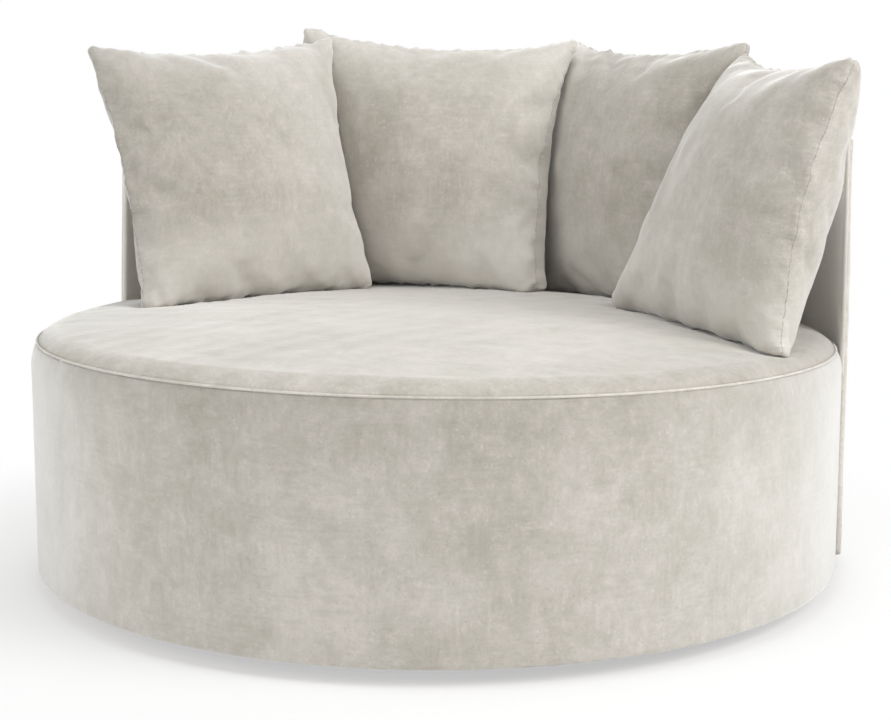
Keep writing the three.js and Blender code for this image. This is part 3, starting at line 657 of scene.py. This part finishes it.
SINK = 0.006  # how deep the cushions may lie in the seat
BACK_GAP = 0.001  # between a cushion and the back that it leans on
BACK_PUSH = 0.03  # the most that the back moves a point
BACK_EDGE = 0.012  # above and below the back's top, over which its push fades
BACK_FRONT = -0.05  # Y, in front of which nothing leans on the back
SEARCH = 0.05  # how far off a neighbour's surface is looked for
CUSHION_GAP = 0.0004  # left on each side between neighbours


def pressed(name):
    """A cushion's points, taken out of the seat, the back and its neighbours, as soft cloth gives
    way."""
    points = cushion_points[name]
    moved = points.copy()
    radius = np.hypot(points[:, 0], points[:, 1])
    over = np.clip(radius - (BACK_INNER - BACK_GAP), 0, BACK_PUSH) * (points[:, 1] > BACK_FRONT)
    over *= np.clip((BACK_TOP + BACK_EDGE - points[:, 2]) / (2 * BACK_EDGE), 0, 1)
    moved[:, :2] *= (1 - over / np.maximum(radius, 1e-6))[:, None]
    floor = seat_height(moved[:, 0], moved[:, 1]) - SINK
    moved[:, 2] += np.clip(floor - moved[:, 2], 0, None) * (radius < DRUM_RADIUS)
    for other, others in cushion_points.items():
        if other == name:
            continue
        tree = BVHTree.FromPolygons([Vector(p) for p in others], pillow_faces)
        for i, p in enumerate(moved):
            near, normal, _, _ = tree.find_nearest(Vector(p), SEARCH)
            if near is None:
                continue
            inside = (near - Vector(p)).dot(normal)
            if inside > 0:
                # Each of the two gives way by half
                moved[i] += np.array(normal) * (inside * 0.5 + CUSHION_GAP)
    return points + smoothed(moved - points, pillow_edges, 2)


for _ in range(3):
    cushion_points = {name: pressed(name) for name in cushion_points}

PUCKER_DEPTH = 0.0012
CRINKLE_DEPTH = 0.0024  # of the seam's own line, in the plane of the cushion
LIP_DEPTH, LIP_REACH = 0.0005, 0.006  # of the cloth that stands up beside the seam
GROOVE_DEPTH, GROOVE_REACH = 0.0015, 0.0018  # of the seam itself
SEAM_REACH = 0.032  # how far the puckers in the velvet reach
# Painted sheen of each cushion: how much paler its colour is painted at grazing angles
CUSHION_PAINTED_SHEEN = {"cushion_1": 0.5, "cushion_2": 0.5, "cushion_3": 0.2, "cushion_4": 0.2}


def along_seam(points):
    """Points close together along a cushion's seam, and how far along it each one is."""
    seam = points[seam_ring]
    change = np.roll(seam, -1, 0) - seam
    way = np.concatenate([[0], np.cumsum(np.linalg.norm(np.diff(seam, axis=0), axis=1))])
    step = np.linalg.norm(change, axis=1)
    shares = (0, 0.25, 0.5, 0.75)
    return (np.concatenate([seam + change * share for share in shares]),
            np.concatenate([way + step * share for share in shares]))


def sewn(at, out, gap, place):
    """A cushion's points, moved for its pinched seam, the puckers at it and the crumpled bottom."""
    turned, middle = place
    local = (at - middle) @ turned
    u, v = local[:, 0] / CUSHION_WIDTH * 2, local[:, 2] / CUSHION_HEIGHT * 2
    low = np.clip((-0.55 - v) / 0.35, 0, 1)
    pucker = waves(at, 0.022, 5) * np.exp(-gap / 0.012) * 2.6
    pucker += waves(at, 0.05, 6) * np.exp(-gap / 0.04) * (1.5 + 1.2 * low)
    pucker += waves(at, 0.03, 7) * np.exp(-gap / 0.05) * low * (0.7 + 1.3 * u ** 2)
    pucker += (1 - 3 * np.abs(waves(at, 0.055, 13))) * np.exp(-gap / 0.04) * low * (0.5 + u ** 2)
    raised = pucker * PUCKER_DEPTH + LIP_DEPTH * np.exp(-(gap / LIP_REACH) ** 2)
    raised -= GROOVE_DEPTH * np.exp(-(gap / GROOVE_REACH) ** 2)
    at = at + out * raised[:, None]
    spread = np.column_stack([local[:, 0], np.zeros(len(at)), local[:, 2]])
    spread /= np.linalg.norm(spread, axis=1)[:, None] + 0.01
    crinkle = (waves(at, 0.021, 11) + 0.8 * waves(at, 0.045, 12)) * CRINKLE_DEPTH
    return at + (crinkle * np.exp(-gap / 0.014))[:, None] * spread @ turned.T, u, v


def painted_light_and_shade(name, u, v):
    """Painted light and painted shade on a cushion at each point, as shares. Each bottom is painted
    lighter against the shade where it meets the seat. The first cushion is painted lighter on the
    right and top and darker on the left, the second lighter towards its edges, the third lighter on
    the left, where the second shades it, and darker all over, and the fourth a little darker all
    over.
    """
    painted_light, shade = 0.6 * np.clip(-v - 0.3, 0, 1), np.zeros(len(u))
    if name == "cushion_1":
        painted_light += 0.2 * np.clip(u, 0, 1) + 0.15 * np.clip(v - 0.5, 0, 1)
        shade = 0.32 * np.clip(-u, 0, 1)
    elif name == "cushion_2":
        painted_light += 0.3 * np.clip(1 - 1.2 * np.clip((1 - u * u) * (1 - v * v), 0, 1), 0, 1)
    elif name == "cushion_3":
        painted_light += 0.9 * np.clip((-u - 0.4) / 0.45, 0, 1)
        shade += 0.1
    else:
        shade += 0.05
    return np.minimum(painted_light, 1), shade


for name, points in cushion_points.items():
    finish = velvet("velvet_" + name, (1, 1, 0.85), painted_sheen=CUSHION_PAINTED_SHEEN[name])
    piece = mesh_piece(name + "_shell", points, pillow_faces, finish)
    facing_out(piece)
    subdivided(piece, seam_spots, 0.9)
    mesh = piece.data
    seam, way = along_seam(points)
    tree = KDTree(len(seam))
    for k, spot in enumerate(seam):
        tree.insert(spot, k)
    tree.balance()
    at = points_of(mesh)
    found = [tree.find(p) for p in at]
    gap = np.array([away for _, _, away in found])
    at, u, v = sewn(at, normals_of(mesh), gap, cushion_places[name])
    move_points(mesh, at)
    set_field(mesh, "near_seam", np.clip(1 - gap / SEAM_REACH, 0, 1))
    set_field(mesh, "seam_way", way[[index for _, index, _ in found]])
    # Painted light and painted shade, stored for the material
    painted_light, shade = painted_light_and_shade(name, u, v)
    set_field(mesh, "painted_light", painted_light)
    set_field(mesh, "shade", shade)
    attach(piece, name)
    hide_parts(name + "_cover")
    filling = facing_out(mesh_piece(name + "_filling", points, pillow_faces, WADDING_FINISH))
    turned, middle = cushion_places[name]
    move_points(filling.data, (points - middle) @ turned * FILLING_SCALE @ turned.T + middle)
    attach(filling, name)
    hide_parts(name + "_pad")


# Drum

ROUND = 480  # points round the drum's covers
UNDER_ROUND = 160  # points round the layers under them
SEAM_GAP = 0.021  # half the angle that the cord takes in the seam, in radians
HEM = 0.03  # how far the side cover is turned in under the drum
CORD_OUT = 0.001  # how far the middle of the cord in the seam is outside the covers
GROOVE_RADIUS = 0.689  # of the shallow groove that the cord makes in the seat's cover
SHOULDER_FOOT = RIM_HEIGHT - SHOULDER_RADIUS
arc = np.linspace(0, SEAM_ANGLE - SEAM_GAP, 10)


def shoulder(angles, inset):
    """Rows of (radius, height) round the rounded rim, at these angles from level."""
    reach = SHOULDER_RADIUS - inset
    return [(SHOULDER_CENTRE + reach * math.cos(a), SHOULDER_FOOT + reach * math.sin(a))
            for a in angles]


side_rows = [(DRUM_RADIUS - HEM, DRUM_BOTTOM + 0.0002), (DRUM_RADIUS - 0.004, DRUM_BOTTOM)]
side_rows += [(DRUM_RADIUS - 0.0012, DRUM_BOTTOM + 0.0012), (DRUM_RADIUS, DRUM_BOTTOM + 0.005)]
side_rows += [(DRUM_RADIUS, z) for z in np.linspace(DRUM_BOTTOM + 0.01, SHOULDER_FOOT - 0.01, 34)]
side_rows += shoulder(arc, 0)
inner_rows = [(DRUM_RADIUS - COVER, z) for z in np.linspace(DRUM_BOTTOM + COVER, SHOULDER_FOOT, 6)]
inner_rows += shoulder(arc[2:], COVER)
side_rows += inner_rows[::-1] + [(DRUM_RADIUS - HEM, DRUM_BOTTOM + COVER)]
points, faces, row, angle = lathe(side_rows, ROUND)
outer_rows = len(side_rows) - len(inner_rows) - 1
is_outer = (row >= 2) & (row < outer_rows)
around = np.stack([np.cos(angle), np.sin(angle)], 1) * DRUM_RADIUS
up = points[:, 2]
bulge = waves(np.column_stack([around, up * 0.6]), 0.24, 3) * 0.0009
bulge += waves(np.column_stack([around, up * 0.5]), 0.07, 4) * 0.0004
bulge += waves(around, 0.035, 5) * 0.0009 * np.exp(-(up - DRUM_BOTTOM) / 0.02)
from_seam = np.abs(SEAM_HEIGHT - up)
bulge += waves(around, 0.018, 6) * 0.0006 * np.exp(-from_seam / 0.012)
bulge -= 0.0005 * np.exp(-(from_seam / 0.004) ** 2)
points[:, :2] += np.where(is_outer, np.minimum(bulge, 0.001), 0)[:, None] * around / DRUM_RADIUS
# Painted shade: the side is painted darker just below the seam, fading downwards
side = mesh_piece("drum_side", sloped(points), faces, DRUM_VELVET,
                  np.where(is_outer, 0.26 * np.exp(-from_seam / 0.045), 0))
facing_out(side)
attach(side, "seat")
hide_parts("drum_cover")

low_points = np.concatenate(list(cushion_points.values()))
low_tree = KDTree(len(low_points))
for i, p in enumerate(low_points):
    low_tree.insert((p[0], p[1], 0), i)
low_tree.balance()


def dents(points, depth, reach):
    """How far each point gives way, so that the cushions have this depth of room. The dent fades
    out over the reach round them."""
    dent = np.zeros(len(points))
    level = seat_height(points[:, 0], points[:, 1])
    for i, p in enumerate(points):
        for _, index, away in low_tree.find_range((p[0], p[1], 0), reach):
            over = depth - (low_points[index][2] - level[i])
            if over > 0:
                dent[i] = max(dent[i], over * (1 - (away / reach) ** 2))
    return dent


def seat_wave(points):
    """Slow waves of the seat's surface, fainter near its rim."""
    wave = waves(points[:, :2], 0.3, 8) * 0.0018 + waves(points[:, :2], 0.09, 9) * 0.0006
    return wave * np.where(np.hypot(points[:, 0], points[:, 1]) < 0.66, 1, 0.3)


def crowned(inset, shares):
    """Rows of (radius, height) over the seat's crown, at shares of its radius."""
    return [(SHOULDER_CENTRE * s, RIM_HEIGHT - inset + CROWN_RISE * (1 - s * s)) for s in shares]


# Seat panel with a dent under each cushion
top_arc = np.linspace(SEAM_ANGLE + SEAM_GAP, math.pi / 2, 12)
panel_shares = [*np.linspace(0.975, 0.02, 39), 0.008, 0.003, 0.0012, 0.0008]
panel_rows = shoulder(top_arc, 0) + crowned(0, panel_shares)
under_rows = [(r, z - COVER) for r, z in panel_rows[3:]]
under_rows = shoulder(top_arc[:3], COVER) + under_rows
points, faces, _, _ = lathe(panel_rows + under_rows[::-1], ROUND)
points = sloped(points)
dent = dents(points, 0.001, 0.03)
wave = seat_wave(points)
wave -= 0.0004 * np.exp(-((np.hypot(points[:, 0], points[:, 1]) - GROOVE_RADIUS) / 0.005) ** 2)
points[:, 2] += wave - dent
# Painted shade: the seat is painted a little darker all over and more so on its right, where
# cushion_4's shadow falls
panel = mesh_piece("seat_panel", points, faces, SEAT_VELVET,
                   0.03 + 0.17 * np.clip((points[:, 0] - 0.3) / 0.25, 0, 1))
facing_out(panel)
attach(panel, "seat")
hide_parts("seat_cover")


# Wadding and foam under the covers

def under_cover(name, rows, finish, node, rigid_below):
    """A layer of these rows that follows the seat's waves and dents above a height."""
    points, faces, _, _ = lathe(rows, UNDER_ROUND)
    points = sloped(points)
    dent = dents(points, 0.0025, 0.036)
    dent += 0.0006 * (dent > 0)
    points[:, 2] += (seat_wave(points) - dent) * np.clip((points[:, 2] - rigid_below) / 0.05, 0, 1)
    made = facing_out(mesh_piece(name, points, faces, finish))
    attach(made, "seat")
    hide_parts(node)


whole_arc = np.linspace(0, math.pi / 2, 14)
layer_shares = np.linspace(0.97, 0.002, 24)


def over_seat(inset):
    return shoulder(whole_arc, inset) + crowned(inset, layer_shares)


def over_drum(inset):
    return [(DRUM_RADIUS - inset, DRUM_BOTTOM + 0.002)] + over_seat(inset)


wadding_rows = over_drum(COVER + CLEARANCE) + over_drum(COVER + CLEARANCE + WADDING)[::-1]
under_cover("drum_wadding_layer", wadding_rows, WADDING_FINISH, "drum_wadding", 0.33)

foam_rows = over_seat(COVER + 2 * CLEARANCE + WADDING)
foam_rows += [(max(r, 0.0015), FOAM_FLOOR + DECK_RISE * (1 - min(r / DECK_RADIUS, 1) ** 2))
              for r in np.linspace(0, FOAM_SIDE, 16)]
under_cover("seat_foam_block", foam_rows, FOAM, "seat_foam", 0.35)


SHEET_THICKNESS = 0.0008
SHEET_ROUND = 120  # points round each sheet


def cloth_ring(name, node, inner, outer, level, rise, sag):
    """A round cloth with a hole, crowned by the rise and waved by the sag."""
    radii = np.linspace(inner, outer, 40)
    heights = level + rise * (1 - (radii / outer) ** 2)
    top = list(zip(radii, heights))
    bottom = [(r, h - SHEET_THICKNESS) for r, h in top]
    points, faces, _, _ = lathe(top + bottom[::-1], SHEET_ROUND)
    share = np.clip((np.hypot(points[:, 0], points[:, 1]) - inner) / (outer - inner), 0, 1)
    points[:, 2] += waves(points[:, :2], 0.16, 31) * sag * np.sin(share * np.pi)
    made = facing_out(mesh_piece(name, points, faces, BLACK_CLOTH))
    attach(made, "seat")
    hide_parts(node)


deck_low, deck_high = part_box("deck_cloth")
cloth_ring("deck_sheet", "deck_cloth", 0.002, deck_high.x, deck_low.z + 0.0009, DECK_RISE, 0.0)
_, dust_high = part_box("dust_cover")
dust_inner = min(math.hypot(p.co.x, p.co.y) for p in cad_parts["dust_cover"].data.vertices)
cloth_ring("dust_sheet", "dust_cover", dust_inner + 0.002, dust_high.y, dust_high.z, 0.0, 0.0006)

# Cord in the seam
seam_radius, seam_level = shoulder([SEAM_ANGLE], -CORD_OUT)[0]
cord_rows = [(seam_radius + CORD_RADIUS * math.cos(a), seam_level + CORD_RADIUS * math.sin(a))
             for a in np.arange(8) * math.pi / 4]
points, faces, _, _ = lathe(cord_rows, ROUND)
points = sloped(points)
# The cord is painted lighter than the rest, a painted highlight along the seam
cord = mesh_piece("seam_cord", points, faces, velvet("velvet_cord", tone=22, painted_sheen=0.1))
facing_out(cord)
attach(cord, "seat")
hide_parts("seat_welt")


# Curved back

def sleeve(name, inset, finish, columns, rows):
    """The curved back, or the layer at this inset inside it."""
    half = BACK_THICKNESS / 2 - inset
    wrap = BACK_HALF_WRAP * BACK_MIDDLE - inset
    top = BACK_TOP - inset
    steps = half * (1 - np.cos(np.linspace(0, np.pi / 2, 6)))
    between = np.linspace(-wrap + half, wrap - half, columns)[1:-1]
    along = np.concatenate([-wrap + steps, between, wrap - steps[::-1]])
    levels = np.concatenate([np.linspace(DRUM_BOTTOM, top - half, rows)[:-1], (top - steps)[::-1]])
    a, z = np.meshgrid(along, levels, indexing="ij")
    a, z = a.ravel(), z.ravel()
    count = len(levels)
    end, lid = wrap - np.abs(a), top - z
    near = np.minimum(np.minimum(end, lid), half)
    thick = np.sqrt(np.clip(half ** 2 - (half - near) ** 2, 0, None))
    share = np.clip((z - SEAM_HEIGHT) / (BACK_TOP - SEAM_HEIGHT), 0, 1)
    turn = a / BACK_MIDDLE * (1 - share * BACK_RAKE / (BACK_HALF_WRAP * BACK_MIDDLE))
    flat = np.stack([a, z], 1)
    swell = waves(flat, 0.3, 21) * 0.0009 + waves(flat, 0.08, 22) * 0.0004 + 0.0006
    swell *= near / half * (inset == 0)
    sides = []
    for sign in (1, -1):
        extra = swell if sign == 1 else swell * share
        radius = BACK_MIDDLE + sign * (thick + np.maximum(extra, -0.001) * (thick > 0))
        sides.append(np.stack([radius * np.sin(turn), radius * np.cos(turn), z], 1))
    points = np.concatenate(sides)
    size = len(a)
    faces = []
    for side_index in (0, 1):
        for i in range(len(along) - 1):
            for j in range(count - 1):
                k = side_index * size + i * count + j
                ring = [k, k + count, k + count + 1, k + 1]
                faces.append(ring if side_index == 0 else ring[::-1])
    for i in range(len(along) - 1):
        k = i * count
        faces.append([k, size + k, size + k + count, k + count])
    made = mesh_piece(name, points, faces, finish)
    # Painted light: the inner face above the seat is painted lighter, most of all towards the two
    # ends, against the shade that the cushions cast there
    inner = np.hypot(points[:, 0], points[:, 1]) < BACK_MIDDLE + 0.001
    inner *= points[:, 2] > SEAM_HEIGHT - 0.05
    set_field(made.data, "painted_light", inner * (0.3 + 0.5 * np.clip(1 - np.tile(end, 2) / 0.35, 0, 1)))
    modifier = made.modifiers.new("sewn", "WELD")
    modifier.merge_threshold = 0.00001
    evaluated = made.evaluated_get(bpy.context.evaluated_depsgraph_get())
    joined = bpy.data.meshes.new_from_object(evaluated)
    made.modifiers.clear()
    made.data = joined
    return facing_out(made)


back = sleeve("back_sleeve", 0.0, BACK_VELVET, 240, 60)
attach(back, "seat")
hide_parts("back_cover")
back_layer = sleeve("back_wadding_layer", BACK_WADDING_INSET, WADDING_FINISH, 100, 24)
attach(back_layer, "seat")
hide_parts("back_wadding")


# Stage

camera_data = bpy.data.cameras.new("camera")
camera_data.sensor_width = 36
camera_data.lens = 86.46
camera_data.shift_x = 0.0101
camera = bpy.data.objects.new("camera", camera_data)
bpy.context.scene.collection.objects.link(camera)
camera.location = (1.144, -3.522, 1.028)
pitch, azimuth = math.radians(10.16), math.radians(18)
ahead = math.cos(pitch)
gaze = Vector((-math.sin(azimuth) * ahead, math.cos(azimuth) * ahead, -math.sin(pitch)))
camera.rotation_euler = gaze.to_track_quat("-Z", "Y").to_euler()
bpy.context.scene.camera = camera

FAR = 30  # half the floor's width
SHADOW_RADIUS, WHITE_RADIUS = 0.72, 1.25  # between which the floor turns white
NEAR_GLOW = 0.5  # how white it glows within the first of them
floor_mesh = bpy.data.meshes.new("floor")
floor_mesh.from_pydata([(x * FAR, y * FAR, 0) for x, y in ((-1, -1), (1, -1), (1, 1), (-1, 1))],
                       [], [(0, 1, 2, 3)])
floor = bpy.data.objects.new("floor", floor_mesh)
bpy.context.scene.collection.objects.link(floor)
paper = bpy.data.materials.new("paper")
paper.use_nodes = True
# To the camera the paper glows white further out and half as much near the chair, where its shadow
# falls. It lights the chair as plain paper does.
nodes, links = paper.node_tree.nodes, paper.node_tree.links
nodes.clear()
output = nodes.new("ShaderNodeOutputMaterial")
mixer = nodes.new("ShaderNodeMixShader")
plain = nodes.new("ShaderNodeBsdfDiffuse")
plain.inputs["Color"].default_value = (0.86, 0.86, 0.86, 1)
glow = nodes.new("ShaderNodeEmission")
coordinates = nodes.new("ShaderNodeTexCoord")
length = nodes.new("ShaderNodeVectorMath")
length.operation = "LENGTH"
fade = nodes.new("ShaderNodeMapRange")
fade.interpolation_type = "SMOOTHSTEP"
fade.inputs["From Min"].default_value = SHADOW_RADIUS
fade.inputs["From Max"].default_value = WHITE_RADIUS
fade.inputs["To Min"].default_value = NEAR_GLOW
rays = nodes.new("ShaderNodeLightPath")
seen = nodes.new("ShaderNodeMath")
seen.operation = "MAXIMUM"
shown = nodes.new("ShaderNodeMath")
shown.operation = "MULTIPLY"
links.new(coordinates.outputs["Object"], length.inputs[0])
links.new(length.outputs["Value"], fade.inputs["Value"])
links.new(rays.outputs["Is Camera Ray"], seen.inputs[0])
links.new(rays.outputs["Is Glossy Ray"], seen.inputs[1])
links.new(seen.outputs[0], shown.inputs[0])
links.new(fade.outputs["Result"], shown.inputs[1])
links.new(shown.outputs[0], mixer.inputs["Fac"])
links.new(plain.outputs[0], mixer.inputs[1])
links.new(glow.outputs[0], mixer.inputs[2])
links.new(mixer.outputs[0], output.inputs["Surface"])
floor_mesh.materials.append(paper)

# The world lights softly, and is white where it is seen or mirrored
world = bpy.data.worlds.new("studio")
bpy.context.scene.world = world
world.use_nodes = True
nodes, links = world.node_tree.nodes, world.node_tree.links
nodes.clear()
output = nodes.new("ShaderNodeOutputWorld")
mixer = nodes.new("ShaderNodeMixShader")
around_light = nodes.new("ShaderNodeBackground")
around_light.inputs["Color"].default_value = (1.0, 0.995, 0.985, 1)
around_light.inputs["Strength"].default_value = 0.34
white = nodes.new("ShaderNodeBackground")
white.inputs["Color"].default_value = (1, 1, 1, 1)
rays = nodes.new("ShaderNodeLightPath")
seen = nodes.new("ShaderNodeMath")
seen.operation = "MAXIMUM"
also = nodes.new("ShaderNodeMath")
also.operation = "MAXIMUM"
links.new(rays.outputs["Is Camera Ray"], seen.inputs[0])
links.new(rays.outputs["Is Glossy Ray"], seen.inputs[1])
links.new(seen.outputs[0], also.inputs[0])
links.new(rays.outputs["Is Transmission Ray"], also.inputs[1])
links.new(also.outputs[0], mixer.inputs["Fac"])
links.new(around_light.outputs[0], mixer.inputs[1])
links.new(white.outputs[0], mixer.inputs[2])
links.new(mixer.outputs[0], output.inputs["Surface"])


def lamp(name, at, towards, size, power):
    """A round soft lamp. Size is its diameter in metres, and power is in watts."""
    data = bpy.data.lights.new(name, "AREA")
    data.shape = "DISK"
    data.size = size
    data.energy = power
    made = bpy.data.objects.new(name, data)
    bpy.context.scene.collection.objects.link(made)
    made.location = at
    made.rotation_euler = (Vector(towards) - Vector(at)).to_track_quat("-Z", "Y").to_euler()


lamp("key", (3.6, -0.9, 2.7), (0, 0, 0.35), 2.8, 135)
lamp("front", (0.2, -4.2, 0.7), (0, 0, 0.5), 2.8, 24)
lamp("top", (0.2, -0.4, 3.6), (0, 0, 0.4), 2.4, 28)
lamp("left", (-3.6, -0.6, 1.8), (0, 0, 0.35), 2.8, 20)
lamp("rear", (-0.6, 3.6, 2.4), (0, 0, 0.5), 2.8, 52)
lamp("left_front", (-2.4, -3.4, 1.4), (0, 0, 0.35), 2.8, 44)

bpy.context.scene.view_settings.view_transform = "Standard"
